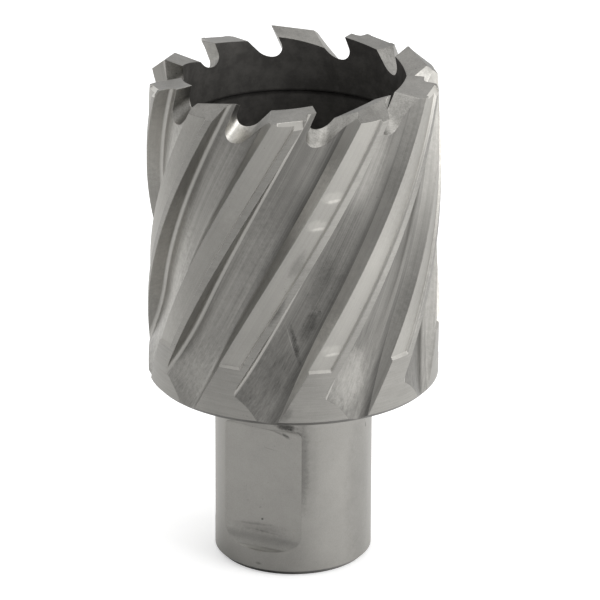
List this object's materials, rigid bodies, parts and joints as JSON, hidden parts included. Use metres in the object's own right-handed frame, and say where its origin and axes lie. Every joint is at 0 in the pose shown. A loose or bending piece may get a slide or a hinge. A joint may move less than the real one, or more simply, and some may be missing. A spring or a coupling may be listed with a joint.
{
  "type": "annular cutter",
  "caption": "Annular hole cutter: toothed steel cup with right-hand spiral flutes on a plain shank with drive flats and a pilot hole.",
  "frame": {"origin": "centre of the shank's end face, which is the bottom of the tool as it stands teeth up", "axes": "+Z along the tool's axis from the shank towards the teeth, -Y towards the viewer of the picture"},
  "size_m": [0.035, 0.035, 0.0618],
  "materials": {
    "tool_steel": "ground tool steel, dark oxide left inside the bore"
  },
  "bodies": {
    "root": {"annular_cutter": "tool_steel"}
  },
  "joints": []
}
